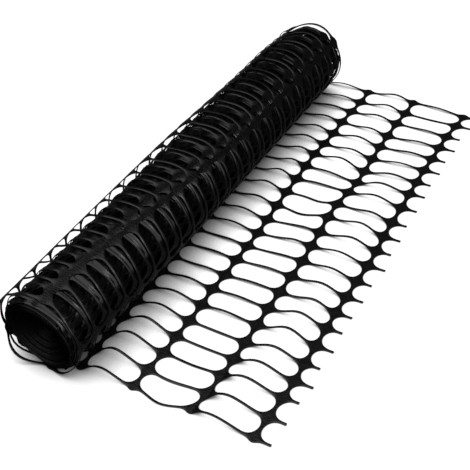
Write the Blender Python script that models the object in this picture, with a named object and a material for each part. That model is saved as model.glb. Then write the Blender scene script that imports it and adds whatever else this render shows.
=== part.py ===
"""Black plastic barrier mesh: a wound roll whose loose end runs out flat on the floor.

Metres, +Z up. The net is first drawn flat, in its own coordinates: u grows from the roll towards
the free end, with u = 0 on the first cross-bar on the floor, and v grows along the roll from the
net's front edge. It is then laid on the floor or round the roll. The roll has coordinates of its
own: around, the distance round its skin from its line on the floor, counted up the side that is
away from the loose end, and along, the distance along its axis from the net's front edge.
"""
import math
from collections import namedtuple

import bmesh
import bpy
from mathutils import Vector

NAME = "plastic_mesh_fencing"
MILLIMETRE = 0.001
SHARP_ANGLE = math.radians(35)
WELD = 0.00002

# The net as it is punched and stretched
NET_WIDTH = 1.0
ROW_GAPS = 22
ROW_PITCH = NET_WIDTH / ROW_GAPS
COLUMN_PITCH = 0.1192
SHEET = 0.002
BAR_HALF = 0.0036
SLOT_HALF = 0.0202
SLOT_ROUND = 0.0205
SLOT_BLUNT = 0.03
EDGE_STRAND_HALF = 0.0022
EDGE_PAD_BULGE = 0.004
EDGE_PAD_REACH = 0.009
CELL_STEPS = (0.0, 0.0048, 0.0124, 0.0335)

# The roll, which lies on a small flat spot
ROLL_RADIUS = 0.0843
ROLL_TURN = math.tau * ROLL_RADIUS
FLAT_DEPTH = 0.0009
AXIS_HEIGHT = ROLL_RADIUS - FLAT_DEPTH
AXIS_AT_FRONT = -0.0543
AXIS_SKEW = 0.0379
AXIS_LENGTHENING = math.hypot(1.0, AXIS_SKEW)
ROLL_NEAR = -0.027
ROLL_FAR = 0.975
LAP = 0.0023
ROLL_STEP = 0.0295
BAND_HALF = 0.009
BAND_SLOPE = 0.0026
BAND_CORNER = 0.0045
BAND_SWAY = 0.0018
BAND_BEAT = 1.3
BAR_RIDGE_HALF = 0.005
BAR_CORNER = 0.012
RECESS = 0.005
FLAT_CUTTER = (2.0, 2.0, 0.05)

# The roll's ends, dished with a spiral ripple of one turn for every two rings, and a small core
# hollow. A dish's sign is the way that it sinks along the roll.
NEAR_DISH = 0.022
NEAR_RINGS = 10
FAR_DISH = -0.012
FAR_RINGS = 6
CORE_RINGS = 2
RIM_SHARE = 0.95
CORE_SHARE = 0.15
CORE_DEPTH = 0.02
SPIRAL_RIPPLE = 0.003

# The loose outermost turn
TURN_END = 0.2855
TURN_END_STEPS = (0.0, 0.013, 0.027)
TURN_CLEARANCE = 0.0011
STAND_OFF = 0.0085
STAND_OFF_FAR = 0.0012
STAND_OFF_FADE = (0.45, 0.8)
STAND_OFF_LEAN = 1.2

# The loose end on the floor
RUN_OUT_CLEARANCE = 0.0236
RUN_OUT_LEAST_STEP = 0.0022
LAST_COLUMN = 3
STUB = 0.019
STUB_SPREAD = 0.003
STUB_BEAT = 2.7

# Where the middle of the whole stands, from the first cross-bar and the front edge
MIDDLE_U = 0.1187
MIDDLE_V = 0.4891

# Where the net changes round the roll. The distance round is the one at the front end, skew is the
# share of the axis's skew that the line follows, bar marks a cross-bar, and covered marks skin that
# the loose turn lies over.
Mark = namedtuple("Mark", "around skew bar covered")
ROLL_MARKS = (
    Mark(0.0, 0.0, False, False),
    Mark(0.0135, 0.0, False, False),
    Mark(0.0160, 0.0, False, True),
    Mark(0.1440, 1.0, True, True),
    Mark(0.2630, 1.0, True, True),
    Mark(0.2875, 1.0, False, True),
    Mark(0.3033, 1.0, True, False),
    Mark(0.4225, 1.0, True, False),
    Mark(ROLL_TURN, 0.0, False, False),
)

# The lines along the roll at each cross-bar, from its middle, and the one at any other mark
Cross = namedtuple("Cross", "offset kind")
BAR_LINES = (
    Cross(-BAR_CORNER, "corner"),
    Cross(-BAR_RIDGE_HALF, "bar"),
    Cross(BAR_RIDGE_HALF, "bar"),
    Cross(BAR_CORNER, "corner"),
)
SLOT_LINES = (Cross(0.0, "slot"),)

# The lines across the loose turn where it comes out from under the roll
Start = namedtuple("Start", "around skew")
TURN_STARTS = (
    Start(0.0425, 0.67),
    Start(0.0315, 0.33),
    Start(0.0205, 0.0),
)

# How far the four cross-bars on the floor have wandered, along u and v, and how high the strands of
# the three cells between them arch: in millimetres, at even steps from the front edge to the back
Wander = namedtuple("Wander", "u0 v0 u1 v1 u2 v2 u3 v3 arch0 arch1 arch2")
WANDER = (
    Wander(0, 2, -8, 2, -8, 3, -2, -2, 22, 0, 15),
    Wander(3, -1, 1, -1, 3, -3, 2, -1, 16, 1, 18),
    Wander(4, 0, 2, -3, 2, 5, 4, -3, 4, 2, 11),
    Wander(1, 0, -2, -1, -6, 7, -1, 1, 14, 1, 11),
    Wander(0, 0, -2, 4, -1, -5, -3, 3, 12, 11, 6),
    Wander(0, 0, 8, 3, 1, 3, 7, -5, 7, 9, 3),
)
ARCH_COLUMN = Wander._fields.index("arch0")

# How much the arches differ from row to row, at what beat, and where in each cell they are highest
ARCH_SPREAD = 0.0012
ARCH_BEAT = 2.3
ARCH_PEAKS = (0.50, 0.57, 0.51)

# A line across the flat net: u where v is 0, its slope, the distance to the nearest cross-bar's
# middle, and whether the net is whole, not slotted, from here to the next line
Station = namedtuple("Station", "u slope distance whole")

# A line along the roll: its distance round at the front, its share of the skew, whether it crosses
# a slot, a slot's corner or a bar, and whether the loose turn covers it
Line = namedtuple("Line", "around skew kind covered")

# A line round the roll: the band it belongs to, the band's middle, the side of it, and whether the
# line is the band's foot or its top edge
Band = namedtuple("Band", "row middle side foot")


def mix(a, b, share):
    """Return the value that lies the given share of the way from a to b."""
    return a + (b - a) * share


def smooth(low, high, value):
    """Return 0 below low, 1 above high, and an even rise between them."""
    share = min(max((value - low) / (high - low), 0.0), 1.0)
    return share * share * (3.0 - 2.0 * share)


def black_plastic(name):
    """Return a material of the net's black, slightly glossy plastic."""
    colour = (0.012, 0.012, 0.013, 1.0)
    material = bpy.data.materials.new(name)
    material.use_nodes = True
    shader = material.node_tree.nodes["Principled BSDF"]
    shader.inputs["Base Color"].default_value = colour
    shader.inputs["Roughness"].default_value = 0.42
    shader.inputs["Metallic"].default_value = 0.0
    material.diffuse_color = colour
    return material


def grid(columns, lines):
    """Return a flat grid of columns by lines points, and the column and line of each point."""
    bm = bmesh.new()
    bmesh.ops.create_grid(bm, x_segments=columns - 1, y_segments=lines - 1, size=1.0)
    places = {}
    for vert in bm.verts:
        i = round((vert.co.x + 1.0) / 2.0 * (columns - 1))
        j = round((vert.co.y + 1.0) / 2.0 * (lines - 1))
        places[vert] = (i, j)
    return bm, places


def finish(bm, name, collection):
    """Turn the closed surface into an object of its own, shaded smooth up to its edges."""
    mesh = bpy.data.meshes.new(name)
    bm.to_mesh(mesh)
    bm.free()
    mesh.shade_smooth()
    mesh.set_sharp_from_angle(angle=SHARP_ANGLE)
    mesh.materials.append(black_plastic(name + "_plastic"))
    part = bpy.data.objects.new(name, mesh)
    collection.objects.link(part)
    return part


def roll_point(around, along, radius):
    """Return the place of a point of the roll, from its distances round and along it."""
    angle = around / ROLL_RADIUS
    side = -math.sin(angle) * radius / AXIS_LENGTHENING
    foot = along / AXIS_LENGTHENING
    u = AXIS_AT_FRONT + foot * AXIS_SKEW + side
    v = foot - side * AXIS_SKEW
    z = AXIS_HEIGHT - math.cos(angle) * radius
    return Vector((u - MIDDLE_U, v - MIDDLE_V, z))


def unwrap(u, v):
    """Return the distances round and along the roll at which a point of the flat net is wound."""
    across = u - AXIS_AT_FRONT
    around = (AXIS_SKEW * v - across) / AXIS_LENGTHENING
    along = (AXIS_SKEW * across + v) / AXIS_LENGTHENING
    return around, along


def round_station(around, skew, distance):
    """Return the line across the flat net that winds to a distance round the roll."""
    start = AXIS_AT_FRONT - AXIS_LENGTHENING * around
    return Station(start, AXIS_SKEW * (1.0 - skew), distance, False)


def slot_half_width(distance):
    """Return half the width of a slot at a distance from its cross-bar: half an ellipse, then even."""
    inside = (SLOT_ROUND + BAR_HALF - distance) / SLOT_ROUND
    if inside <= 0.0:
        return SLOT_HALF
    return SLOT_HALF * math.sqrt(max(1.0 - inside * inside, SLOT_BLUNT))


def strand_edge(distance, outer):
    """Return how far a strand's edge lies from its middle at a distance from the cross-bar."""
    if outer:
        return EDGE_STRAND_HALF + EDGE_PAD_BULGE * math.exp(-(distance / EDGE_PAD_REACH) ** 2)
    return ROW_PITCH / 2.0 - slot_half_width(distance)


def cell_stations(column):
    """Return the lines across a cross-bar and the cell that follows it, up to the next bar."""
    start = column * COLUMN_PITCH
    middle = COLUMN_PITCH / 2.0
    stations = [Station(start - BAR_HALF, 0.0, BAR_HALF, True)]
    stations += [Station(start + BAR_HALF + step, 0.0, BAR_HALF + step, False) for step in CELL_STEPS]
    stations.append(Station(start + middle, 0.0, middle, False))
    end = start + COLUMN_PITCH - BAR_HALF
    stations += [Station(end - step, 0.0, BAR_HALF + step, False) for step in reversed(CELL_STEPS[1:])]
    return stations


def flat_net(stations, least_u=None):
    """Return the flat net as a solid with its slots cut through.

    Each row is a strand with an upper and a lower edge, and the faces between two rows are
    removed except at the cross-bars. least_u gives the smallest u allowed at a station and v.
    """
    bm, places = grid(len(stations), 2 * (ROW_GAPS + 1))
    for vert, (i, j) in places.items():
        row, upper = divmod(j, 2)
        v = row * ROW_PITCH
        u = stations[i].u + stations[i].slope * v
        if least_u:
            u = max(u, least_u(i, v))
        outer = j in (0, 2 * ROW_GAPS + 1)
        edge = strand_edge(stations[i].distance, outer)
        vert.co = Vector((u, v + (edge if upper else -edge), 0.0))
    slots = []
    for face in bm.faces:
        i = min(places[vert][0] for vert in face.verts)
        j = min(places[vert][1] for vert in face.verts)
        if j % 2 and not stations[i].whole:
            slots.append(face)
    bmesh.ops.delete(bm, geom=slots, context="FACES")
    made = bmesh.ops.extrude_face_region(bm, geom=bm.faces[:])["geom"]
    upper_side = [item for item in made if isinstance(item, bmesh.types.BMVert)]
    bmesh.ops.translate(bm, verts=upper_side, vec=(0.0, 0.0, SHEET))
    bmesh.ops.recalc_face_normals(bm, faces=bm.faces[:])
    return bm


def wander_at(v, k):
    """Return a column of the wander table at a distance along the net, eased between its steps."""
    place = min(max(v / NET_WIDTH, 0.0), 1.0) * (len(WANDER) - 1)
    low = min(int(place), len(WANDER) - 2)
    share = smooth(0.0, 1.0, place - low)
    return mix(WANDER[low][k], WANDER[low + 1][k], share) * MILLIMETRE


def wander(u, v):
    """Return how far the floor net has moved at a point, along u and v: a slow sway of each bar."""
    column = min(max(u / COLUMN_PITCH, 0.0), LAST_COLUMN)
    left = min(int(column), LAST_COLUMN - 1)
    ends = [(wander_at(v, k), wander_at(v, k + 2)) for k in (2 * left, 2 * left + 1)]
    return [mix(near, far, column - left) for near, far in ends]


def arch_height(u, v):
    """Return how high a strand stands off the floor: one rounded hump in each cell."""
    column = math.floor(u / COLUMN_PITCH)
    if column not in range(LAST_COLUMN):
        return 0.0
    share = (u - column * COLUMN_PITCH - BAR_HALF) / (COLUMN_PITCH - 2.0 * BAR_HALF)
    share = min(max(share, 0.0), 1.0)
    lean = math.log(0.5) / math.log(ARCH_PEAKS[column])
    row = round(v / ROW_PITCH)
    height = wander_at(row * ROW_PITCH, ARCH_COLUMN + column)
    height = max(height + ARCH_SPREAD * math.sin(ARCH_BEAT * row), 0.0)
    return height * math.sin(math.pi * share ** lean) ** 2


def run_out(collection):
    """Make the loose end on the floor: three whole cells, and a row of cut stubs at its end."""
    roll_line = AXIS_AT_FRONT + RUN_OUT_CLEARANCE
    stations = [Station(roll_line, AXIS_SKEW, COLUMN_PITCH / 2.0, False)]
    for step in reversed(CELL_STEPS[1:3]):
        stations.append(Station(-BAR_HALF - step, 0.0, BAR_HALF + step, False))
    for column in range(LAST_COLUMN):
        stations += cell_stations(column)
    last = LAST_COLUMN * COLUMN_PITCH
    stations += cell_stations(LAST_COLUMN)[:3]
    stations.append(Station(last + STUB, 0.0, STUB, False))
    bm = flat_net(stations, lambda i, v: roll_line + AXIS_SKEW * v + i * RUN_OUT_LEAST_STEP)
    for vert in bm.verts:
        u, v, height = vert.co
        row = round(v / ROW_PITCH)
        moved_u, moved_v = wander(u, v)
        height += arch_height(u, v)
        if u > last + STUB / 2.0:
            u += STUB_SPREAD * math.sin(STUB_BEAT * row)
        vert.co = Vector((u + moved_u - MIDDLE_U, v + moved_v - MIDDLE_V, height))
    return finish(bm, "run_out", collection)


def stand_off(around, along):
    """Return how far the loose turn stands off the roll: a hump round it that fades along it."""
    start = TURN_STARTS[-1].around
    end = TURN_END + AXIS_SKEW * along
    share = min(max((around - start) / (end - start), 0.0), 1.0)
    height = mix(STAND_OFF, STAND_OFF_FAR, smooth(*STAND_OFF_FADE, along))
    return TURN_CLEARANCE + height * math.sin(math.pi * share ** STAND_OFF_LEAN) ** 2


def outer_turn(collection):
    """Make the loose outermost turn, from under the roll up its far side and over its top."""
    middle = COLUMN_PITCH / 2.0
    stations = [round_station(TURN_END - step, 1.0, middle) for step in TURN_END_STEPS]
    stations += cell_stations(-3)[-4:]
    stations += cell_stations(-2)
    stations += cell_stations(-1)[:4]
    stations += [round_station(start.around, start.skew, middle) for start in TURN_STARTS]
    bm = flat_net(stations)
    for vert in bm.verts:
        around, along = unwrap(vert.co.x, vert.co.y)
        radius = ROLL_RADIUS - vert.co.z + stand_off(around, along)
        vert.co = roll_point(around, along, radius)
    return finish(bm, "outer_turn", collection)


def roll_lines():
    """Return the lines along the roll: four at each bar, one at each other mark, and some between."""
    lines = []
    for mark in ROLL_MARKS:
        for cross in BAR_LINES if mark.bar else SLOT_LINES:
            line = Line(mark.around + cross.offset, mark.skew, cross.kind, mark.covered)
            last = lines[-1] if lines else line
            steps = math.ceil((line.around - last.around) / ROLL_STEP)
            for step in range(1, steps):
                around = mix(last.around, line.around, step / steps)
                lines.append(Line(around, mix(last.skew, line.skew, step / steps), "slot", last.covered))
            lines.append(line)
    return lines


def band_lines():
    """Return the lines round the roll: two feet and two top edges for each band, but at the ends."""
    pitch = (ROLL_FAR - ROLL_NEAR - 2.0 * BAND_HALF) / ROW_GAPS
    lines = []
    for row in range(ROW_GAPS + 1):
        middle = ROLL_NEAR + BAND_HALF + row * pitch
        lines += [Band(row, middle, -1, True), Band(row, middle, -1, False)]
        lines += [Band(row, middle, 1, False), Band(row, middle, 1, True)]
    return lines[1:-1]


def skin_place(line, band):
    """Return the distances round and along the roll, and the radius, where two lines cross."""
    radius = ROLL_RADIUS - (LAP if line.covered else 0.0)
    reach = BAND_HALF
    if band.foot:
        reach += BAND_SLOPE + (0.0 if line.kind == "slot" else BAND_CORNER)
        radius -= 0.0 if line.kind == "bar" else RECESS
    along = band.middle + band.side * reach
    if ROLL_NEAR < along < ROLL_FAR:
        along += BAND_SWAY * math.sin(line.around / ROLL_RADIUS + BAND_BEAT * band.row)
    return line.around + line.skew * AXIS_SKEW * along, along, radius


def end_place(line, index, rings, rim_along, dish):
    """Return the same three values for a ring of a dished end, from 0 at the rim to the core."""
    rim = ROLL_RADIUS - (LAP if line.covered else 0.0)
    around = line.around + line.skew * AXIS_SKEW * rim_along
    inward = min(index / (rings - 1), 1.0)
    share = mix(RIM_SHARE, CORE_SHARE, inward)
    depth = abs(dish) * inward
    if index >= rings:
        depth += CORE_DEPTH
        share = CORE_SHARE if index == rings else 0.0
    elif index > 0:
        depth += SPIRAL_RIPPLE * (1.0 + math.cos(around / ROLL_RADIUS - math.pi * index))
    return around, rim_along + math.copysign(depth, dish), rim * share


def wound_roll(collection):
    """Make the wound roll: bands of strands, slots between cross-bars, and two dished ends."""
    lines = roll_lines()
    bands = band_lines()
    near = NEAR_RINGS + CORE_RINGS
    far = near + len(bands)
    bm, places = grid(len(lines), far + FAR_RINGS + CORE_RINGS)
    for vert, (i, j) in places.items():
        if j < near:
            place = end_place(lines[i], near - 1 - j, NEAR_RINGS, ROLL_NEAR, NEAR_DISH)
        elif j < far:
            place = skin_place(lines[i], bands[j - near])
        else:
            place = end_place(lines[i], j - far, FAR_RINGS, ROLL_FAR, FAR_DISH)
        vert.co = roll_point(*place)
    bmesh.ops.remove_doubles(bm, verts=bm.verts[:], dist=WELD)
    bmesh.ops.recalc_face_normals(bm, faces=bm.faces[:])
    return finish(bm, "wound_roll", collection)


def cut_flat_spot(roll, cutters):
    """Cut the roll's underside level where it rests on the floor."""
    bpy.ops.mesh.primitive_cube_add(size=1.0, location=(0.0, 0.0, -FLAT_CUTTER[2] / 2.0))
    cutter = bpy.context.object
    cutter.name = "flat_spot_cutter"
    cutter.scale = FLAT_CUTTER
    bpy.ops.object.transform_apply(location=False, rotation=False, scale=True)
    for collection in list(cutter.users_collection):
        collection.objects.unlink(cutter)
    cutters.objects.link(cutter)
    cutter.hide_render = True
    cutter.display_type = "WIRE"
    cut = roll.modifiers.new("flat_spot", "BOOLEAN")
    cut.operation = "DIFFERENCE"
    cut.solver = "EXACT"
    cut.object = cutter


def main():
    """Clear the scene and make the pieces."""
    for item in list(bpy.data.objects):
        bpy.data.objects.remove(item, do_unlink=True)
    parts = bpy.data.collections.new(NAME)
    cutters = bpy.data.collections.new("cutters")
    bpy.context.scene.collection.children.link(parts)
    bpy.context.scene.collection.children.link(cutters)
    cut_flat_spot(wound_roll(parts), cutters)
    run_out(parts)
    outer_turn(parts)


main()
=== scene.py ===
"""Black plastic barrier mesh: a wound roll whose loose end runs out flat on the floor.

Metres, +Z up. The net is one length. It is worked out flat first, in its own coordinates: u grows
from the roll towards the free end, with u = 0 on the first cross-bar on the floor, and v grows
along the roll from the net's front edge. It is then laid on the floor or wound round the roll.
Strands run along u, one for each row, and cross-bars run along v.
"""
from __future__ import annotations

import logging
from dataclasses import dataclass, field
from enum import Enum
from typing import Any

import bpy
import numpy as np
from mathutils import Matrix, Vector


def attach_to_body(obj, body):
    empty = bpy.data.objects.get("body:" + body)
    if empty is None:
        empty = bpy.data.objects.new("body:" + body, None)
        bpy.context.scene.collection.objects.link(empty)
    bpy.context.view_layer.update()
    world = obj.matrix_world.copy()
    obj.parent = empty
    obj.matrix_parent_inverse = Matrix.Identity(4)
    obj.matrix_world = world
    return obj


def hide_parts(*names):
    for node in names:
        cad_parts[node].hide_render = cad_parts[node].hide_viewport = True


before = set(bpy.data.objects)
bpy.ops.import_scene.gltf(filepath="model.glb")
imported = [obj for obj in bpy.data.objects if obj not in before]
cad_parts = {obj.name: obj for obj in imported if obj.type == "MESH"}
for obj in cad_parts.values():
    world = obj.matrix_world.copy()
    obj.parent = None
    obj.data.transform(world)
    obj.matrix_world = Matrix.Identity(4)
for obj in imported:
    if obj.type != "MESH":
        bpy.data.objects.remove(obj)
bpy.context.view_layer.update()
LOG = logging.getLogger("plastic_mesh_fencing")
MILLIMETRE = 0.001
PERCENT = 0.01
TURN = 2.0 * np.pi
SHARP_ANGLE = np.radians(35.0)
ROUNDING = 1e-9
NET_WIDTH = 1.0

Array = np.ndarray
Material = bpy.types.Material
Node = bpy.types.Node
Object = bpy.types.Object
Socket = bpy.types.NodeSocket
Pair = tuple[float, float]
Triple = tuple[float, float, float]
Inputs = dict[str | int, Any]

# For each row of the loose end, from the front: how far its pads on the three bars past u = 0 have
# wandered along u and v; then, for its strand in each of the three cells that end at those bars,
# how high it arches off the floor and where in the cell it is highest. A negative height is a bow
# towards the front. Millimetres and percent.
ROWS = (
    (-8, 2, -8, 3, -2, -2, 19, 40, -11, 52, 12, 33),
    (-6, 2, 0, 1, 0, 2, 25, 42, -5, 38, 18, 36),
    (-1, 2, 2, 2, 3, 5, 23, 41, -2, 50, 18, 38),
    (-1, 0, 3, -2, 5, 0, 21, 46, -1, 50, 20, 44),
    (1, -1, 3, -4, 3, -2, 15, 47, 0, 50, 17, 50),
    (1, -1, 2, -2, 3, -2, 13, 50, 5, 42, 19, 54),
    (-2, -1, 1, -1, 2, 0, 9, 55, 4, 45, 17, 56),
    (2, -3, 1, 1, 1, -4, 4, 66, 3, 45, 13, 64),
    (1, -1, 2, 3, 2, -4, 3, 60, 3, 60, 12, 58),
    (2, -3, 3, 5, 3, -3, 3, 70, 2, 66, 9, 56),
    (3, -5, -1, 6, 5, 0, 8, 52, 6, 70, 12, 52),
    (1, -6, -3, 4, 4, 0, 10, 52, 3, 74, 15, 58),
    (-1, -3, -8, 9, 0, -1, 10, 62, -10, 52, 14, 62),
    (-3, -1, -8, 8, -1, -1, 14, 60, -7, 68, 9, 66),
    (-3, 2, -2, 7, -1, 5, 14, 68, 3, 36, 13, 52),
    (-5, 6, 2, -4, -3, 8, 10, 74, 5, 46, 13, 46),
    (-6, 7, 1, -8, -3, 4, 10, 72, 15, 56, 9, 52),
    (-2, 3, -1, -6, -4, 3, 13, 63, 10, 60, 6, 54),
    (1, 1, -3, -4, -2, 1, 12, 66, 11, 55, 5, 60),
    (0, 3, -3, -7, -2, -1, 8, 66, 8, 66, 5, 60),
    (4, 4, -3, 1, -2, -3, 6, 60, 9, 60, 3, 64),
    (8, 1, 1, -1, 4, -1, 6, 64, 10, 62, 0, 50),
    (8, 3, 1, 4, 8, -7, 7, 50, 9, 62, 4, 52),
)

# How far the strands lean over on the roll, by the angle wound since the floor: near the front end
# and towards the far one. A negative lean raises a strand's far edge. Degrees.
LEANS = (
    (120, 0, 0),
    (160, -6, -8),
    (225, -8, -14),
    (250, 2, 0),
    (400, -8, -8),
    (480, -8, -19),
    (545, -8, -22),
    (564, -12, -18),
    (574, -19, -16),
    (586, -20, -12),
    (605, -14, -12),
    (640, -12, -12),
    (720, -6, -6),
    (840, -8, -18),
    (900, -8, -20),
    (940, -14, -10),
    (1080, -8, -8),
)

# How far the bars have slipped round the roll, by the distance along it: those of the outermost
# turn and those of the turns inside it. Millimetres and degrees.
SLIPS = (
    (0, -13.0, 8.0),
    (50, -15.0, 8.0),
    (100, -13.5, 9.0),
    (150, -10.0, 10.0),
    (200, -6.5, 11.0),
    (250, -4.5, 11.0),
    (300, -1.5, 12.0),
    (400, 2.5, 20.0),
    (500, 6.5, 26.0),
    (600, 9.0, 26.0),
    (700, 7.5, 25.0),
    (800, 5.0, 23.0),
    (1000, 1.0, 18.0),
)

# Strands of the net's front edge that have come loose on the roll: the angle wound to their middle
# and how far they reach to each side, in degrees, then how far they bow to the front and stand off
# the roll, in millimetres.
FLARES = (
    (76, 44, 11, 1),
    (333, 45, 13, 2),
    (414, 44, 17, 2),
    (507, 40, 0, 4),
    (764, 50, 22, 4),
)

# Slow waves that make the inner turns uneven: the height of each, its rate by the angle, and where
# it starts. The first two sway the turns to and fro, by a share. The others are on the spirals at
# the roll's ends, in their radius and in their depth, in metres.
SWAY = ((0.62, 0.71, 1.3), (0.38, 1.37, 0.4))
SPIRAL_RADIUS = ((0.0007, 0.83, 0.0), (0.0005, 0.213, 1.0))
SPIRAL_DEPTH = ((0.0022, 0.377, 0.0), (0.0014, 0.92, 2.0))

# The spirals at the roll's ends: which way each faces along the roll, then its outer radius, where
# its rim stands along the roll and how deep it is dished, in metres.
ENDS = (
    ("near_spiral", -1, 0.0730, -0.024, 0.022),
    ("far_spiral", 1, 0.0680, 0.976, 0.012),
)


def smooth(low: float, high: float, value: Array) -> Array:
    """Ease from 0 at low to 1 at high: 3x squared minus 2x cubed, with x the share of the way."""
    share = np.clip((value - low) / (high - low), 0.0, 1.0)
    return share * share * (3.0 - 2.0 * share)


def hump(share: Array, peak: Array | float = 0.5) -> Array:
    """Rise from 0 to 1 at the peak and fall to 0: the squared sine of pi times a leaning share.

    The leaning share is the share raised to the power that takes the peak to one half.

    Args:
        share: how far across the cell, from 0 to 1.
        peak: the share at which the hump is highest.

    Returns:
        The height for each share, from 0 to 1.
    """
    return np.sin(np.pi * share ** (np.log(0.5) / np.log(peak))) ** 2


def bell(value: Array, reach: float, middle: float = 0.0) -> Array:
    """Fall off from 1 at the middle: e to the power of minus the squared distance in reaches."""
    return np.exp(-(((value - middle) / reach) ** 2))


def waves(table: tuple[Triple, ...], angle: Array) -> Array:
    """Add up waves: each one's height times the sine of its rate times the angle plus its start."""
    return sum(height * np.sin(rate * angle + start) for height, rate, start in table)


def look_up(table: tuple, value: Array) -> list[Array]:
    """Read a table's further columns by its first one, in straight lines from row to row."""
    first, *further = np.array(table, dtype=float).T
    return [np.interp(value, first, column) for column in further]


class Detail(Enum):
    """How finely a stretch of net is made."""

    FINE = ((6.0, 17.0, 29.0, 43.0, 58.0, 74.0, 90.0), 4, (-1.0, -0.4, 0.4, 1.0))
    PLAIN = ((8.0, 28.0, 52.0, 90.0), 3, (-1.0, 0.0, 1.0))

    def __init__(self, arc: tuple[float, ...], steps: int, cross: tuple[float, ...]) -> None:
        """Keep the values, the angles in radians.

        Args:
            arc: the degrees round a slot's end at which there is a line of points.
            steps: the number of steps from there to the slot's middle.
            cross: the places of the points across a strand, as shares of its half width.
        """
        self.arc = np.radians(arc)
        self.steps = steps
        self.cross = np.array(cross)


@dataclass(frozen=True)
class NodeBoard:
    """A node tree, with short ways to add its nodes and to set or link what goes into them."""

    tree: bpy.types.NodeTree

    def give(self, node: Node, inputs: Inputs) -> Node:
        """Set or link a node's inputs.

        Args:
            node: the node.
            inputs: for each input, by name or number, its value or the socket that feeds it.

        Returns:
            The same node.
        """
        for key, value in inputs.items():
            if isinstance(value, Socket):
                self.tree.links.new(value, node.inputs[key])
            else:
                node.inputs[key].default_value = value
        return node

    def add(self, kind: str, inputs: Inputs, **settings: Any) -> Node:
        """Add a node.

        Args:
            kind: its type.
            inputs: its inputs, as for give.
            settings: its other settings, by name.

        Returns:
            The node.
        """
        node = self.tree.nodes.new(kind)
        for name, value in settings.items():
            setattr(node, name, value)
        return self.give(node, inputs)

    def noise(self, net: Socket, grain: Triple) -> Socket:
        """Add a noise that is stretched over the net's coordinates.

        Args:
            net: the socket with the net's coordinates, in metres.
            grain: its waves per metre along u and v, and its number of finer layers.

        Returns:
            The noise's factor.
        """
        mapping = self.add("ShaderNodeMapping", {"Vector": net, "Scale": (*grain[:2], 1.0)})
        inputs = {"Vector": mapping.outputs["Vector"], "Scale": 1.0, "Detail": grain[2]}
        return self.add("ShaderNodeTexNoise", inputs).outputs["Fac"]

    def combine(self, operation: str, first: Socket, second: Any, **settings: Any) -> Socket:
        """Work out one number from two, each a socket or a value."""
        inputs = {0: first, 1: second}
        return self.add("ShaderNodeMath", inputs, operation=operation, **settings).outputs[0]

    def spread(self, factor: Socket, low: float, high: float, span: Pair = (0.0, 1.0)) -> Socket:
        """Turn a factor evenly into another range.

        Args:
            factor: the factor's socket.
            low: the value at the start of the span.
            high: the value at its end.
            span: the part of the factor's range that is used.

        Returns:
            The value's socket.
        """
        inputs = {"From Min": span[0], "From Max": span[1], "To Min": low, "To Max": high}
        return self.add("ShaderNodeMapRange", {"Value": factor} | inputs).outputs["Result"]


@dataclass(frozen=True)
class PlasticFinish:
    """Black polyethylene with a low gloss, drawn lengthwise, with scuffs and creased pads.

    A grain is a noise's waves per metre along u and v, and its number of finer layers. A span is
    where on the noise its effect starts and ends. The heights are those of the bumps, in metres.
    """

    name: str
    tone: float = 0.0016
    scuff_gain: float = 1.8
    gloss: float = 0.28
    pad_gloss: float = 0.8
    roughness: float = 0.26
    roughness_spread: float = 0.06
    streaks: float = 0.12
    creases: float = 0.0
    streak_grain: Triple = (30.0, 900.0, 3.0)
    scuff_grain: Triple = (90.0, 90.0, 4.0)
    crease_grain: Triple = (210.0, 330.0, 2.0)
    scuff_span: Pair = (0.45, 0.80)
    streak_span: Pair = (0.3, 0.7)
    streak_height: float = 0.0004
    crease_height: float = 0.002

    def make(self) -> Material:
        """Make the finish's material.

        Returns:
            A node material that reads the piece's net coordinates and its pad attribute.
        """
        material = bpy.data.materials.new(self.name)
        material.use_nodes = True
        board = NodeBoard(material.node_tree)
        net = board.add("ShaderNodeUVMap", {}, uv_map="net").outputs["UV"]
        pad = board.add("ShaderNodeAttribute", {}, attribute_name="pad").outputs["Fac"]
        grains = (self.streak_grain, self.scuff_grain, self.crease_grain)
        streak, scuff, crease = (board.noise(net, grain) for grain in grains)
        dull = self.roughness - self.roughness_spread, self.roughness + self.roughness_spread
        inputs = {
            "Metallic": 0.0,
            "Specular IOR Level": self.gloss,
            "Base Color": self._tones(board, scuff),
            "Roughness": board.spread(streak, *dull, self.streak_span),
            "Normal": self._bumps(board, streak, board.combine("MULTIPLY", crease, pad)),
        }
        shader = board.give(board.tree.nodes["Principled BSDF"], inputs)
        if self.pad_gloss != 1.0:
            shine = board.spread(pad, self.gloss, self.gloss * self.pad_gloss)
            board.give(shader, {"Specular IOR Level": shine})
        return material

    def _tones(self, board: NodeBoard, scuff: Socket) -> Socket:
        """Make the black a little paler where the plastic is scuffed.

        Args:
            board: the material's nodes.
            scuff: the factor that says where it is scuffed.

        Returns:
            The colour.
        """
        ramp = board.add("ShaderNodeValToRGB", {"Fac": scuff})
        tones = (self.tone, self.tone * self.scuff_gain)
        for stop, position, tone in zip(ramp.color_ramp.elements, self.scuff_span, tones):
            stop.position = position
            stop.color = (tone, tone, tone, 1.0)
        return ramp.outputs["Color"]

    def _bumps(self, board: NodeBoard, streak: Socket, crease: Socket) -> Socket:
        """Raise fine streaks along the strands, and creases on the pads.

        Args:
            board: the material's nodes.
            streak: the factor of the streaks.
            crease: the factor of the creases, which is 0 off the pads.

        Returns:
            The way that the surface faces.
        """
        inputs = {"Strength": self.streaks, "Distance": self.streak_height, "Height": streak}
        lines = board.add("ShaderNodeBump", inputs).outputs["Normal"]
        inputs = {"Strength": self.creases, "Distance": self.crease_height, "Height": crease}
        return board.add("ShaderNodeBump", inputs | {"Normal": lines}).outputs["Normal"]


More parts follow.
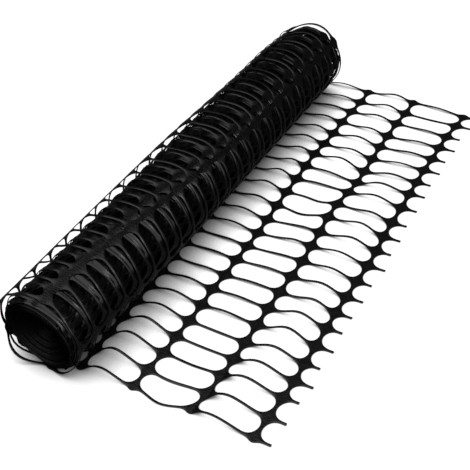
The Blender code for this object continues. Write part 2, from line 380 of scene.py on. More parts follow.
# The loose end's copy of the black: its tone, paler than the roll's, is painted light on the floor
# net that faces up to the lamps; its scuffs are wear at random and its creases are bumps.
NET_PAINTED_LIGHT_FINISH = PlasticFinish("net_plastic", tone=0.0026, scuff_gain=2.6, creases=0.3)
CREASED_FINISH = PlasticFinish(
    "creased_plastic", gloss=0.25, streaks=0.6, creases=0.5, pad_gloss=0.6
)
# The turns seen through the slots: a darker copy of the black with duller pads, painted shade for how
# deep in the roll they lie.
DEEP_PAINTED_SHADE_FINISH = PlasticFinish("deep_plastic_painted_shade", tone=0.0010, pad_gloss=0.1)
# The body of inner turns: the darkest copy of the black, dull and with little gloss, painted shade
# inside the roll.
CORE_PAINTED_SHADE_FINISH = PlasticFinish("core_plastic_painted_shade", tone=0.0008, roughness=0.5, gloss=0.05, pad_gloss=1.0)
# The spirals at the roll's ends: a copy of the black with little gloss, painted shade in the hollow
# ends, and a paler tone that lifts them, painted light.
END_PAINTED_LIGHT_AND_SHADE_FINISH = PlasticFinish("end_plastic_painted_light_and_shade", tone=0.0030, roughness=0.4, gloss=0.14, pad_gloss=1.0)


@dataclass(frozen=True)
class NetPattern:
    """The net as it is punched and stretched: its pitches, slots, strands and thicknesses."""

    gaps: int = 22
    column_pitch: float = 0.1192
    bar_half: float = 0.0037
    slot_half: float = 0.0200
    slot_round: float = 0.0205
    edge_half: float = 0.0024
    edge_bulge: float = 0.0055
    edge_reach: float = 0.0095
    strand_thick: float = 0.0017
    pad_thick: float = 0.0018
    pad_reach: float = 0.0090
    flank_thinning: float = 0.66
    ridge_share: float = 0.4

    @property
    def rows(self) -> int:
        """The number of strands across the net."""
        return self.gaps + 1

    @property
    def row_pitch(self) -> float:
        """The distance from one strand's middle to the next one's."""
        return NET_WIDTH / self.gaps

    def slot_half_width(self, distance: Array) -> Array:
        """Half the width of a slot: half an ellipse at each end, then even."""
        inside = np.clip((self.slot_round + self.bar_half - distance) / self.slot_round, 0.0, 1.0)
        return self.slot_half * np.sqrt(1.0 - inside * inside)

    def edge_half_width(self, distance: Array) -> Array:
        """Half the width of an edge strand on its outer side: even, with a bulge at each bar."""
        return self.edge_half + self.edge_bulge * bell(distance, self.edge_reach)

    def pad_share(self, distance: Array) -> Array:
        """How much a place belongs to a cross-bar: a bell curve of its distance from the bar."""
        return bell(distance, self.pad_reach)


NET = NetPattern()


class NetGrid:
    """A stretch of flat net: a grid of lines across it, by strands, by points on a strand."""

    def __init__(self, first: float, last: float, detail: Detail) -> None:
        """Lay out the grid's lines.

        Args:
            first: the smallest u, which is moved to the nearest line.
            last: the largest u, moved in the same way.
            detail: how fine the grid is.
        """
        self.detail = detail
        pitch = NET.column_pitch
        columns = np.arange(int(np.floor(first / pitch)) - 1, int(np.ceil(last / pitch)) + 1)
        u = (columns[:, None] * pitch + self._cell_steps()).ravel()
        low = int(np.argmin(np.abs(u - first)))
        high = int(np.argmin(np.abs(u - last)))
        self.u = u[low : high + 1]
        self.distance = np.abs(self.u - np.round(self.u / pitch) * pitch)
        middle = (self.u[1:] + self.u[:-1]) / 2.0
        self.whole = np.abs(middle - np.round(middle / pitch) * pitch) < NET.bar_half
        self.column = np.floor(self.u / pitch + ROUNDING).astype(int)
        inside = self.u - self.column * pitch - NET.bar_half
        self.share = np.clip(inside / (pitch - 2.0 * NET.bar_half), 0.0, 1.0)
        self.row = np.arange(NET.rows)

    def _cell_steps(self) -> Array:
        """The distances of a cell's lines from its first bar's middle, up to the next bar's.

        Returns:
            Rising distances: half the bar, round the slot's end, along it, and the same mirrored.
        """
        arc = NET.bar_half + NET.slot_round * (1.0 - np.cos(self.detail.arc))
        middle = NET.column_pitch / 2.0
        along = np.linspace(arc[-1], middle, self.detail.steps + 1)[1:]
        half = np.concatenate(([0.0, NET.bar_half], arc, along))
        return np.concatenate((half, (NET.column_pitch - half[1:-1])[::-1]))

    def across(self) -> Array:
        """How far each point lies from its strand's middle line.

        Returns:
            The distances along v, as an array of lines by rows by points across.
        """
        cross = self.detail.cross
        blunt = NET.bar_half + NET.slot_round * (1.0 - float(np.cos(self.detail.arc[0])))
        inner = NET.row_pitch / 2.0 - NET.slot_half_width(np.maximum(self.distance, blunt))
        low = np.repeat(inner[:, None], NET.rows, axis=1)
        high = low.copy()
        low[:, 0] = NET.edge_half_width(self.distance)
        high[:, -1] = low[:, 0]
        return np.where(cross < 0.0, low[:, :, None], high[:, :, None]) * cross

    def half_thickness(self) -> Array:
        """Half the net's thickness: even on the bars, and sloping off the ridge of each strand.

        Returns:
            The half thickness, as an array of lines by rows by points across.
        """
        pad = NET.pad_share(self.distance)[:, None, None]
        thick = NET.strand_thick + (NET.pad_thick - NET.strand_thick) * pad
        off_ridge = np.maximum(np.abs(self.detail.cross) - NET.ridge_share, 0.0)
        slope = NET.flank_thinning * off_ridge / (1.0 - NET.ridge_share)
        half = thick * (1.0 - slope * (1.0 - pad)) / 2.0
        return np.repeat(half, NET.rows, axis=1)

    def mask(self) -> Array:
        """Where the grid has faces: on every strand, and between strands only at the cross-bars.

        Returns:
            Whether there is a face, for each square of lines by points across all strands.
        """
        points = len(self.detail.cross)
        lines = np.arange(NET.rows * points - 1)
        on_strand = (lines + 1) % points != 0
        return on_strand | self.whole[:, None]


@dataclass
class FlatNet:
    """The flat net before it is laid: each strand's lift, its bow along v, and how far it leans."""

    grid: NetGrid
    lift: Array
    bow: Array
    lean: Array

    def sides(self) -> tuple[Array, Array, Array]:
        """Work out the upper and the lower side of the net, in its own coordinates.

        A point goes across by its distance times the cosine of the lean and up by the distance
        times its sine. The two sides lie half the thickness off that, at right angles to it.

        Returns:
            The coordinates u, v and height, each as an array of two sides by lines by rows by
            points across.
        """
        grid = self.grid
        across = grid.across()
        cosine = np.cos(self.lean)[:, :, None]
        sine = np.sin(self.lean)[:, :, None]
        side = np.array([1.0, -1.0])[:, None, None, None] * grid.half_thickness()
        line = (grid.row * NET.row_pitch)[None, :, None]
        v = line + self.bow[:, :, None] + across * cosine - side * sine
        height = self.lift[:, :, None] + across * sine + side * cosine
        u = np.broadcast_to(grid.u[None, :, None, None], v.shape)
        return u, v, height


def walled_quads(mask: Array) -> Array:
    """Number the faces of a closed sheet: two sides, and walls wherever the mask ends.

    The points are numbered line by line, first the upper side and then the lower one.

    Args:
        mask: where there are faces, one for each square of the grid.

    Returns:
        The faces, as four point numbers each, all pointing outwards.
    """
    number = np.arange((mask.shape[0] + 1) * (mask.shape[1] + 1)).reshape(mask.shape[0] + 1, -1)
    low = number.size
    corners = (number[:-1, :-1], number[1:, :-1], number[1:, 1:], number[:-1, 1:])
    upper = np.stack([corner[mask] for corner in corners], axis=1)
    quads = [upper, upper[:, ::-1] + low]
    padded = np.pad(mask, 1)
    after, before = padded[1:-1, 1:], padded[1:-1, :-1]
    below, above = padded[1:, 1:-1], padded[:-1, 1:-1]
    walls = (
        (number[1:, :], number[:-1, :], after & ~before),
        (number[:-1, :], number[1:, :], before & ~after),
        (number[:, :-1], number[:, 1:], below & ~above),
        (number[:, 1:], number[:, :-1], above & ~below),
    )
    for start, end, chosen in walls:
        top = np.stack([start[chosen], end[chosen]], axis=1)
        quads.append(np.concatenate((top, top[:, ::-1] + low), axis=1))
    return np.concatenate(quads)


def tube_faces(rings: int, points: int) -> list[list[int]]:
    """Number the faces of a closed tube, with a flat cap on its first and its last ring.

    Args:
        rings: how many rings of points it has.
        points: how many points each ring has.

    Returns:
        The faces, as point numbers.
    """
    number = np.arange(rings * points).reshape(rings, points)
    turned = np.roll(number, -1, axis=1)
    quads = np.stack([number[:-1], turned[:-1], turned[1:], number[1:]], axis=-1).reshape(-1, 4)
    return quads.tolist() + [number[0, ::-1].tolist(), number[-1].tolist()]


def put(name: str, data: bpy.types.ID) -> Object:
    """Put a new object into the scene.

    Args:
        name: its name.
        data: the mesh, light or camera that it shows.

    Returns:
        The object.
    """
    made = bpy.data.objects.new(name, data)
    bpy.context.scene.collection.objects.link(made)
    return made


def make_piece(
    name: str,
    places: Array,
    faces: list[list[int]],
    net: tuple[Array, Array],
    pad: Array | float,
    look: Material,
) -> Object:
    """Make a piece of points and faces, with its net coordinates, pad attribute and finish.

    Args:
        name: its name.
        places: its points, as an array whose last axis holds the three coordinates.
        faces: its faces, as point numbers.
        net: the points' net coordinates, u and v.
        pad: how much each point belongs to a cross-bar, from 0 to 1.
        look: its material.

    Returns:
        The piece.
    """
    mesh = bpy.data.meshes.new(name)
    mesh.from_pydata(places.reshape(-1, 3).tolist(), [], faces)
    mesh.validate()
    mesh.shade_smooth()
    mesh.set_sharp_from_angle(angle=SHARP_ANGLE)
    corner = np.empty(len(mesh.loops), dtype=np.int32)
    mesh.loops.foreach_get("vertex_index", corner)
    u, v, pads = (np.broadcast_to(part, places.shape[:-1]).ravel() for part in (*net, pad))
    layer = mesh.uv_layers.new(name="net")
    layer.data.foreach_set("uv", np.stack([u, v], axis=-1)[corner].astype(np.float32).ravel())
    attribute = mesh.attributes.new("pad", "FLOAT", "POINT")
    attribute.data.foreach_set("value", pads.astype(np.float32))
    mesh.materials.append(look)
    return put(name, mesh)


@dataclass
class Winding:
    """How the net winds round the roll: the axis, the radius at each angle, and the rows' drift."""

    radius: float = 0.0843
    axis_height: float = 0.0834
    axis_at_front: float = -0.0543
    skew: float = 0.0379
    skew_fades: Pair = (0.55, 1.15)
    middle_u: float = 0.1187
    middle_v: float = 0.4891
    cover: float = 0.0010
    lap: float = 0.0023
    lap_angles: Pair = (5.5, 6.1)
    turn_pitch: float = 0.00105
    core_radius: float = 0.0135
    turn_start: float = 0.0205
    turn_end: float = 0.2260
    clearance: float = 0.0011
    clearance_ends: Pair = (0.25, 0.32)
    stand_off: float = 0.0095
    stand_off_far: float = 0.0012
    stand_off_fade: Pair = (0.45, 0.8)
    stand_off_peak: float = 0.79
    outer_slip: Pair = (60.0, 190.0)
    inner_slip: Pair = (300.0, 520.0)
    sag: float = 0.006
    sag_at: float = 206.0
    sag_reach: float = 22.0
    back_shift: float = -0.0095
    back_shift_at: float = 98.0
    back_shift_reach: float = 32.0
    push: float = 0.010
    push_start: Pair = (420.0, 480.0)
    push_end: Pair = (580.0, 640.0)
    push_ends: Pair = (0.20, 0.45)
    near_tuck: float = 0.012
    near_tuck_start: Pair = (330.0, 420.0)
    far_tuck: float = 0.007
    far_tuck_start: Pair = (60.0, 130.0)
    tuck_reach: float = 0.045
    flare_reach: float = 0.018
    dent: float = 0.08
    dent_pull: float = 0.022
    dent_at: float = 148.0
    dent_width: float = 27.0
    dent_start: Pair = (0.84, 0.98)
    inner_middle: float = -0.0175
    inner_taper: float = 0.0070
    inner_sway: float = 0.0060
    inner_angles: Pair = (9.6, 12.8)
    lengths: Pair = (-0.1, 3.0)
    table_steps: int = 20000
    tables: dict[str, Array] = field(default_factory=dict)

    def __post_init__(self) -> None:
        """Tabulate the radius and the length wound at each angle, and the drift at each length."""
        turns = (self.radius - self.core_radius) / self.turn_pitch
        angle = np.linspace(0.0, turns * TURN, self.table_steps)
        radius = self.radius - self.cover - self.lap * smooth(*self.lap_angles, angle)
        radius -= self.turn_pitch * np.maximum(angle / TURN - 1.0, 0.0)
        reach = np.where(angle < TURN, self.radius, radius)
        wound = np.concatenate(([0.0], np.cumsum((reach[1:] + reach[:-1]) / 2.0 * np.diff(angle))))
        length = np.linspace(*self.lengths, self.table_steps)
        drift = np.cumsum(self._skew_at(length)) * (length[1] - length[0])
        drift -= np.interp(0.0, length, drift)
        self.tables.update(angle=angle, radius=radius, wound=wound, length=length, drift=drift)

    def _skew_at(self, length: Array) -> Array:
        """The skew of the rows, which fades out over the second turn."""
        return self.skew * (1.0 - smooth(*self.skew_fades, length))

    def place(self, angle: Array, along: Array, radius: Array) -> Array:
        """Turn an angle, a distance along the axis and a radius into a point of the frame.

        The angle grows from the floor up the side away from the loose end. The axis lies level,
        at a slight skew to the net, so a point's side shifts it along as well. The roll's far end
        is dented on its upper back side: there each radius and the distance along are less, by a
        bell curve of the angle times a smooth rise along the roll.

        Args:
            angle: in radians.
            along: in metres from the net's front edge.
            radius: in metres.

        Returns:
            The points.
        """
        off = (np.degrees(angle) - self.dent_at + 180.0) % 360.0 - 180.0
        dent = bell(off, self.dent_width) * smooth(*self.dent_start, along)
        radius = radius * (1.0 - self.dent * dent)
        along = along - self.dent_pull * dent
        longer = np.hypot(1.0, self.skew)
        side = -np.sin(angle) * radius / longer
        foot = along / longer
        u = self.axis_at_front + foot * self.skew + side
        v = foot - side * self.skew
        z = self.axis_height - np.cos(angle) * radius
        return np.stack(np.broadcast_arrays(u - self.middle_u, v - self.middle_v, z), axis=-1)

    def around(self, u: Array, v: Array) -> tuple[Array, Array]:
        """Find how far round and along the roll a point of the flat net is wound.

        Args:
            u: the net coordinate away from the roll.
            v: the net coordinate along it.

        Returns:
            The length wound from the floor line, and the distance along the axis.
        """
        length = self.axis_at_front - u
        longer = np.hypot(1.0, self.skew)
        wound = (length + self._skew_at(length) * v) / longer
        along = (v - np.interp(length, self.tables["length"], self.tables["drift"])) / longer
        return wound, along

    def angle_at(self, wound: Array, along: Array) -> Array:
        """Find the angle turned since the floor, with the bars' slip round the roll.

        Args:
            wound: the length wound from the floor line.
            along: the distance along the axis.

        Returns:
            The angles, in radians.
        """
        on_roll = np.interp(wound, self.tables["wound"], self.tables["angle"])
        turned = np.degrees(np.where(wound < 0.0, wound / self.radius, on_roll))
        outer, inner = look_up(SLIPS, along / MILLIMETRE)
        deep = smooth(*self.inner_slip, turned)
        slip = smooth(*self.outer_slip, turned) * outer * (1.0 - deep) + inner * deep
        return np.radians(turned + slip)

    def wind(self, u: Array, v: Array, height: Array) -> Array:
        """Wind points of the flat net round the roll.

        Deep inside, the distance along the roll fades into that of a narrower net that sways to
        and fro from turn to turn. Loose edge strands keep their bow.

        Args:
            u: the net coordinate away from the roll.
            v: the net coordinate along it.
            height: the height over the net's middle, which points inwards on the roll.

        Returns:
            The points.
        """
        wound, along = self.around(u, v)
        angle = self.angle_at(wound, along)
        radius = np.interp(angle, self.tables["angle"], self.tables["radius"])
        radius = radius + self.stand(wound, along)
        turned = np.degrees(angle)
        settled = self._settle(turned, v, along)
        along, radius = self._flare(turned, v, settled, radius)
        inner = smooth(*self.inner_angles, angle)
        target = self.inner_middle - self.inner_taper * v + self.inner_sway * waves(SWAY, angle)
        along = along + inner * (target - (settled - v))
        return self.place(angle, along, radius - height)

    def _settle(self, turned: Array, v: Array, along: Array) -> Array:
        """Shift points along the roll to where the net lies on it.

        The sag past the top and the shift behind the roll are bell curves of the angle. The push
        towards the far end, in the second turn, is a smooth rise and fall of the angle times a
        smooth rise along the roll. The tucks draw the edges in, by a smooth rise of the angle
        times a bell curve of the distance from the edge.

        Args:
            turned: the angle turned since the floor, in degrees.
            v: the net coordinate along the roll.
            along: the distance along the axis.

        Returns:
            The new distance along the axis.
        """
        along = along + self.sag * bell(turned, self.sag_reach, self.sag_at)
        along = along + self.back_shift * bell(turned, self.back_shift_reach, self.back_shift_at)
        pushed = smooth(*self.push_start, turned) * (1.0 - smooth(*self.push_end, turned))
        along = along + self.push * pushed * smooth(*self.push_ends, along)
        near = self.near_tuck * smooth(*self.near_tuck_start, turned)
        far = self.far_tuck * smooth(*self.far_tuck_start, turned)
        return along + near * bell(v, self.tuck_reach) - far * bell(v, self.tuck_reach, NET_WIDTH)

    def _flare(self, turned: Array, v: Array, along: Array, radius: Array) -> tuple[Array, Array]:
        """Let loose strands of the front edge bow to the front and stand off the roll.

        Each moves by its distance times a hump of the angle times a bell curve of v.

        Args:
            turned: the angle turned since the floor, in degrees.
            v: the net coordinate along the roll.
            along: the distance along the axis.
            radius: the distance from the axis.

        Returns:
            The new distances along the axis and from it.
        """
        for middle, reach, front, out in FLARES:
            share = np.clip((turned - middle) / (2.0 * reach) + 0.5, 0.0, 1.0)
            rise = hump(share) * bell(v, self.flare_reach) * MILLIMETRE
            along = along - rise * front
            radius = radius + rise * out
        return along, radius

    def stand(self, wound: Array, along: Array) -> Array:
        """How far the net stands off the roll: a hump of the loose outermost turn, and a clearance.

        The hump is lower towards the far end. The clearance ends a little past that turn.

        Args:
            wound: the length wound from the floor line.
            along: the distance along the axis.

        Returns:
            The stand-off, which is 0 on the turns inside.
        """
        end = self.turn_end + self.skew * along
        share = np.clip((wound - self.turn_start) / (end - self.turn_start), 0.0, 1.0)
        fade = smooth(*self.stand_off_fade, along)
        high = self.stand_off + (self.stand_off_far - self.stand_off) * fade
        rest = self.clearance * (1.0 - smooth(*self.clearance_ends, wound))
        return rest + high * hump(share, self.stand_off_peak)


WINDING = Winding()


@dataclass
class NetStretch:
    """A stretch of the net, from one u to another, with the unevenness of its strands."""

    name: str
    first: float
    last: float
    detail: Detail = Detail.FINE
    seed: int = 11
    columns: int = 64
    lift: float = 0.0003
    bow: float = 0.0010
    lean: float = 0.12

    def build(self, look: Material) -> Object:
        """Make the stretch.

        Args:
            look: its material.

        Returns:
            The piece.
        """
        grid = NetGrid(self.first, self.last, self.detail)
        u, v, places = self.laid(self._loosened(grid))
        pad = NET.pad_share(grid.distance)[None, :, None, None]
        return make_piece(self.name, places, walled_quads(grid.mask()).tolist(), (u, v), pad, look)

    def laid(self, net: FlatNet) -> tuple[Array, Array, Array]:
        """Lay the flat net in place, which each kind of stretch does in its own way."""
        raise NotImplementedError

    def _loosened(self, grid: NetGrid) -> FlatNet:
        """Give each strand of each cell a small lift, bow and lean of its own.

        They are drawn for all the net's cells, so a strand runs on from one stretch to the next.

        Args:
            grid: the stretch's grid.

        Returns:
            The flat net.
        """
        draw = np.random.default_rng(self.seed)
        cell = grid.column % self.columns
        shape = (self.columns, NET.rows)
        rise = hump(grid.share)[:, None]
        spreads = (self.lift, self.bow, self.lean)
        return FlatNet(grid, *(draw.normal(0.0, spread, shape)[cell] * rise for spread in spreads))


@dataclass
class LooseEnd(NetStretch):
    """The loose end on the floor: three whole cells, part of a cell at the roll, and cut stubs."""

    stub: float = 0.029
    stub_start: float = 0.3
    stub_spread: float = 0.003
    stub_beat: float = 2.7
    last_column: int = 3
    floor_gap: float = 0.00005

    def laid(self, net: FlatNet) -> tuple[Array, Array, Array]:
        """Lay the net on the floor, with its arches, its pads moved, and stubs of uneven length.

        A stub grows or shrinks by a sine of its row's number, times a smooth rise along it.

        Args:
            net: the flat net.

        Returns:
            The net coordinates u and v, and the laid points.
        """
        lift, bow = self._arches(net.grid)
        net.lift = np.abs(net.lift) + lift
        net.bow = net.bow + bow
        u, v, height = net.sides()
        moved_u, moved_v = self._shifts(u, v)
        past_bar = u - self.last_column * NET.column_pitch
        beyond = smooth(self.stub_start * self.stub, self.stub, past_bar)
        row = np.round(v / NET.row_pitch)
        moved_u = moved_u + beyond * self.stub_spread * np.sin(self.stub_beat * row)
        x = u + moved_u - WINDING.middle_u
        y = v + moved_v - WINDING.middle_v
        z = np.maximum(height + NET.pad_thick / 2.0, self.floor_gap)
        return u, v, np.stack([x, y, z], axis=-1)

    def _arches(self, grid: NetGrid) -> tuple[Array, Array]:
        """How high each strand stands off the floor, and how far it bows to the front.

        Each is one leaning hump in each cell.

        Args:
            grid: the stretch's grid.

        Returns:
            The heights and the bows along v, as arrays of lines by rows.
        """
        table = np.array([row[2 * self.last_column :] for row in ROWS], dtype=float)
        offset = np.zeros((len(grid.u), NET.rows))
        for column in range(self.last_column):
            high = table[:, 2 * column] * MILLIMETRE
            peak = table[:, 2 * column + 1] * PERCENT
            inside = grid.column == column
            offset[inside] = hump(grid.share[inside, None], peak) * high
        return np.maximum(offset, 0.0), np.minimum(offset, 0.0)

    def _shifts(self, u: Array, v: Array) -> tuple[Array, Array]:
        """How far each point has moved with the pads about it: even between bars, eased by row.

        Args:
            u: the net coordinate away from the roll.
            v: the net coordinate along it.

        Returns:
            The moves along u and along v.
        """
        table = np.array([row[: 2 * self.last_column] for row in ROWS], dtype=float) * MILLIMETRE
        pads = np.pad(table, ((0, 0), (2, 0))).reshape(len(table), -1, 2)
        column = np.clip(u / NET.column_pitch, 0.0, self.last_column)
        left = np.minimum(column.astype(int), self.last_column - 1)
        row = np.clip(v / NET.row_pitch, 0.0, NET.gaps)
        low = np.minimum(row.astype(int), NET.gaps - 1)
        share = smooth(0.0, 1.0, row - low)[..., None]
        near = pads[low, left] * (1.0 - share) + pads[low + 1, left] * share
        far = pads[low, left + 1] * (1.0 - share) + pads[low + 1, left + 1] * share
        moved = near + (far - near) * (column - left)[..., None]
        return moved[..., 0], moved[..., 1]


@dataclass
class WoundStretch(NetStretch):
    """A stretch of the net that is wound round the roll."""

    crumple: float = 0.0002
    floor_gap: float = 0.0002
    lean_ends: Pair = (0.22, 0.45)

    def laid(self, net: FlatNet) -> tuple[Array, Array, Array]:
        """Lean the strands over, roughen the pads and wind the net round the roll.

        Args:
            net: the flat net.

        Returns:
            The net coordinates u and v, and the laid points.
        """
        grid = net.grid
        row = grid.row * NET.row_pitch
        wound, along = WINDING.around(grid.u[:, None], row)
        turned = np.degrees(WINDING.angle_at(wound, along))
        front, back = look_up(LEANS, turned)
        lean = front + (back - front) * smooth(*self.lean_ends, along)
        pad = NET.pad_share(grid.distance)[:, None]
        net.lean = net.lean + np.radians(lean) * (1.0 - pad)
        u, v, height = net.sides()
        draw = np.random.default_rng(self.seed + 1)
        rough = draw.normal(0.0, 1.0, v.shape[1:]) * self.crumple * pad[:, :, None]
        places = WINDING.wind(u, v, height + rough)
        places[..., 2] = np.maximum(places[..., 2], self.floor_gap)
        return u, v, places


@dataclass
class RollEnd:
    """The inner turns as they show at one end of the roll: an edge strand wound in a spiral."""

    name: str
    sign: int
    rim: float
    along: float
    dish: float
    width: float = 0.0040
    thick: float = 0.0007
    sides: int = 6
    steps_a_turn: int = 56
    turn_pitch: float = 0.00087

    def build(self, look: Material) -> Object:
        """Carry the strand's section, a flat ellipse, along the spiral.

        The radius falls evenly with the angle, and the strand stands further in, by a smooth
        share of the dish, the nearer it is to the core. Slow waves make both uneven.

        Args:
            look: the material.

        Returns:
            The piece.
        """
        core = WINDING.core_radius
        turns = (self.rim - core) / self.turn_pitch
        angle = np.linspace(0.0, turns * TURN, int(turns * self.steps_a_turn))
        radius = self.rim - self.turn_pitch * angle / TURN + waves(SPIRAL_RADIUS, angle)
        depth = self.dish * (1.0 - smooth(core, self.rim, radius)) + waves(SPIRAL_DEPTH, angle)
        section = np.radians(np.arange(0.0, 360.0, 360.0 / self.sides))
        across = np.cos(section) * self.width / 2.0
        out = np.sin(section) * self.thick / 2.0
        along = self.along - self.sign * depth[:, None] + across
        places = WINDING.place(angle[:, None], along, radius[:, None] + out)
        faces = tube_faces(*places.shape[:2])
        return make_piece(self.name, places, faces, ((angle * radius)[:, None], across), 0.0, look)


@dataclass
class Core:
    """The many inner turns, packed too close to see between: a body with dished ends, in a darker
    copy of the black that paints the shade inside the roll.
    """

    name: str = "inner_turns"
    radius: float = 0.0672
    near: float = -0.014
    far: float = 0.960
    dish: float = 0.020
    hub: float = 0.004
    bars: int = 31
    bar_height: float = 0.0006
    points: int = 144
    end_rings: int = 12
    body_rings: int = 58

    def build(self, look: Material) -> Object:
        """Carry a ring of points out over the dished near end, along the roll, and in at the far end.

        Shallow waves round the body stand for the bars of its outermost turns.

        Args:
            look: the material.

        Returns:
            The piece.
        """
        angle = np.linspace(0.0, TURN, self.points + 1)[:-1]
        share = np.linspace(0.0, 1.0, self.end_rings)
        body = np.linspace(self.near, self.far, self.body_rings + 2)[1:-1]
        near = self.near + self.dish * (1.0 - share)
        along = np.concatenate((near, body, self.far - self.dish * share))[:, None]
        size = np.concatenate((share, np.ones(len(body)), share[::-1]))[:, None]
        radius = self.hub + (self.radius - self.hub) * size
        relief = self.bar_height * np.sin(angle * self.bars) * (size == 1.0)
        places = WINDING.place(angle, along, radius + relief)
        faces = tube_faces(*places.shape[:2])
        return make_piece(self.name, places, faces, (angle * self.radius, along), 0.0, look)


@dataclass(frozen=True)
class Lamp:
    """A soft rectangular light: where it hangs, what it faces, its width and depth, its watts."""

    name: str
    at: Triple
    towards: Triple
    size: Pair
    power: float

    def hang(self) -> None:
        """Put the light into the scene."""
        light = bpy.data.lights.new(self.name, "AREA")
        light.shape = "RECTANGLE"
        light.size, light.size_y = self.size
        light.energy = self.power
        lamp = put(self.name, light)
        aim = Vector(self.towards) - Vector(self.at)
        lamp.location = self.at
        lamp.rotation_euler = aim.to_track_quat("-Z", "Y").to_euler()


@dataclass
class Studio:
    """A plain white floor, soft lights and the camera."""

    lens: float = 75.57
    sensor: float = 36.0
    camera_at: Triple = (0.7784, -1.3191, 1.3497)
    right: Triple = (0.87117, 0.48525, -0.07480)
    up: Triple = (-0.27831, 0.61356, 0.73898)
    back: Triple = (0.40448, -0.62295, 0.66957)
    floor_size: float = 14.0
    floor_grey: float = 0.14
    floor_roughness: float = 0.9
    sky: float = 0.08
    floor_glow: float = 1.10
    shade_reach: float = 0.09
    shade_gain: float = 1.25
    shade_depth: float = 2.4
    lamps: tuple[Lamp, ...] = (
        Lamp("overhead", (-0.4, -1.2, 2.4), (-0.4, -1.2, 0.0), (6.0, 3.6), 148.0),
        Lamp("right", (2.2, -0.3, 1.1), (0.0, -0.3, 1.1), (1.8, 2.2), 24.0),
        Lamp("glint", (1.9, -0.1, 1.65), (0.0, -0.1, 0.1), (0.5, 0.5), 8.4),
    )

    def build(self) -> None:
        """Make the floor, the lights and the camera, and set how the picture is shown."""
        self._floor()
        self._sky()
        for lamp in self.lamps:
            lamp.hang()
        self._camera()
        bpy.context.scene.view_settings.view_transform = "Standard"

    def _floor(self) -> None:
        """Make the floor, which isn't part of the object."""
        half = self.floor_size / 2.0
        corners = [(-half, -half, 0.0), (half, -half, 0.0), (half, half, 0.0), (-half, half, 0.0)]
        mesh = bpy.data.meshes.new("floor")
        mesh.from_pydata(corners, [], [(0, 1, 2, 3)])
        material = bpy.data.materials.new("floor_white")
        material.use_nodes = True
        self._white_paper(NodeBoard(material.node_tree))
        mesh.materials.append(material)
        floor = put("floor", mesh)

    def _white_paper(self, board: NodeBoard) -> None:
        """Make a floor that looks white but for a soft shade close to the object.

        To the camera it glows evenly, less where something stands close over it: by the share of
        open sky above, times a gain, kept to 1 at most and taken to a power. To the light and in
        reflections it is a dim, dull floor.

        Args:
            board: the floor material's nodes.
        """
        close = board.add("ShaderNodeAmbientOcclusion", {"Distance": self.shade_reach})
        open_sky = board.combine("MULTIPLY", close.outputs["AO"], self.shade_gain, use_clamp=True)
        shade = board.combine("POWER", open_sky, self.shade_depth)
        strength = board.combine("MULTIPLY", shade, self.floor_glow)
        glow = board.add("ShaderNodeEmission", {"Strength": strength})
        grey = (self.floor_grey, self.floor_grey, self.floor_grey, 1.0)
        inputs = {"Base Color": grey, "Roughness": self.floor_roughness, "Specular IOR Level": 0.0}
        dim = board.give(board.tree.nodes["Principled BSDF"], inputs)
        path = board.add("ShaderNodeLightPath", {})
        inputs = {0: path.outputs["Is Camera Ray"], 1: dim.outputs[0], 2: glow.outputs[0]}
        either = board.add("ShaderNodeMixShader", inputs)
        board.give(board.tree.nodes["Material Output"], {"Surface": either.outputs["Shader"]})

    def _sky(self) -> None:
        """Set an even, dim surrounding light, seen directly as the same white as the floor."""
        world = bpy.data.worlds.new("studio")
        world.use_nodes = True
        board = NodeBoard(world.node_tree)
        path = board.add("ShaderNodeLightPath", {})
        strength = board.spread(path.outputs["Is Camera Ray"], self.sky, self.floor_glow)
        white = {"Color": (1.0, 1.0, 1.0, 1.0), "Strength": strength}
        board.give(board.tree.nodes["Background"], white)
        bpy.context.scene.world = world

    def _camera(self) -> None:
        """Set the camera where the photographer stood."""
        camera = bpy.data.cameras.new("camera")
        camera.lens = self.lens
        camera.sensor_width = self.sensor
        viewer = put("camera", camera)
        axes = Matrix((self.right, self.up, self.back)).transposed().to_4x4()
        axes.translation = self.camera_at
        viewer.matrix_world = axes
        bpy.context.scene.camera = viewer


def attach(piece: Object, node: str) -> None:
    """Set a piece on the body, in place of its CAD node, and report it.

    Args:
        piece: the piece.
        node: the CAD node that it stands for.
    """
    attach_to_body(piece, "root")
    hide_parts(node)
    LOG.info("%s: %d faces", piece.name, len(piece.data.polygons))


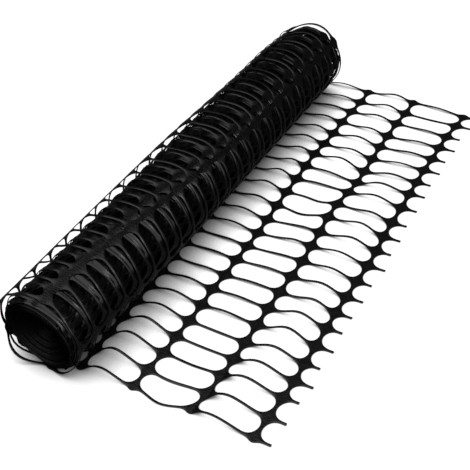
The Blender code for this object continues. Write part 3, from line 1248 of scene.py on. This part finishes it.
@dataclass(frozen=True)
class Fencing:
    """The whole net: the values of u at which it is parted, and how much of it a piece holds."""

    roll_line: float = -0.0333
    turn_line: float = -0.3381
    second_line: float = -1.20
    inner_length: float = 1.84
    inner_stretches: int = 3
    floor_length: float = 0.41
    crumple: float = 0.0004

    def build(self) -> None:
        """Build the net's stretches from the free end inwards, and the body of its inner turns."""
        self._loose_end()
        self._outer_turns()
        self._inner_turns()

    def _loose_end(self) -> None:
        """Build the loose end on the floor."""
        last = LooseEnd.last_column * NET.column_pitch + LooseEnd.stub
        # The loose end is in the paler copy of the black: painted light.
        piece = LooseEnd("loose_end", self.roll_line, last).build(NET_PAINTED_LIGHT_FINISH.make())
        attach(piece, "run_out")

    def _outer_turns(self) -> None:
        """Build the turn that stands off the roll and the turns next to it."""
        look = CREASED_FINISH.make()
        first, middle, last = self.second_line, self.turn_line, self.roll_line
        piece = WoundStretch("loose_turn", middle, last, crumple=0.0).build(look)
        attach(piece, "outer_turn")
        piece = WoundStretch("outer_turns", first, middle, crumple=self.crumple).build(look)
        attach(piece, "wound_roll")

    def _inner_turns(self) -> None:
        """Build the turns that show through the slots, the body inside them and its ends."""
        # The turns seen through the slots are in the darker copy of the black: painted shade.
        look = DEEP_PAINTED_SHADE_FINISH.make()
        for number in range(self.inner_stretches):
            name = f"wound_turns_{number + 1}"
            last = self.second_line - self.inner_length * number
            stretch = WoundStretch(name, last - self.inner_length, last, Detail.PLAIN)
            piece = stretch.build(look)
            attach(piece, "wound_roll")
        # The body of inner turns is in the darkest copy of the black: painted shade.
        attach(Core().build(CORE_PAINTED_SHADE_FINISH.make()), "wound_roll")
        # The spirals at the ends are in a copy of the black set to how the shaded hollow looks:
        # painted light and shade.
        look = END_PAINTED_LIGHT_AND_SHADE_FINISH.make()
        for end in ENDS:
            attach(RollEnd(*end).build(look), "wound_roll")


def main() -> None:
    """Build the object's parts, then the studio."""
    logging.basicConfig(level=logging.INFO, format="%(message)s")
    Fencing().build()
    Studio().build()


if __name__ == "__main__":
    main()
